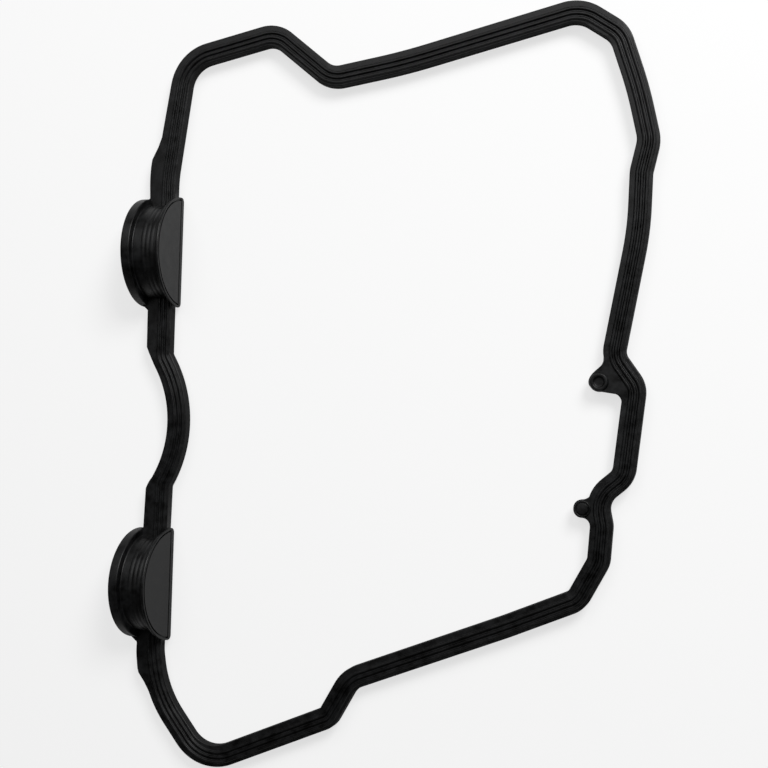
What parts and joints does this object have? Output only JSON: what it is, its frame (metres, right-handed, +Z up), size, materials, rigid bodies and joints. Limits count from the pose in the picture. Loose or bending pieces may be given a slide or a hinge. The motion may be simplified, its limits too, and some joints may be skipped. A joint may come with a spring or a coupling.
{
  "type": "valve cover gasket",
  "caption": "Moulded rubber valve cover gasket: a closed beaded loop with two grooved half-moon plugs on one side and two small locating ears on the other.",
  "frame": {"origin": "middle of the outline, on the plane the gasket lies on", "axes": "+Z up, from the cover side to the cylinder head side, where the beads and half-moons stand; +X along the axis of the half-moons, from their side of the loop to the far side; +Y along the loop's length"},
  "size_m": [0.1324, 0.1898, 0.0156],
  "materials": {
    "rubber": "satin"
  },
  "bodies": {
    "root": {"gasket": "rubber"}
  },
  "joints": []
}
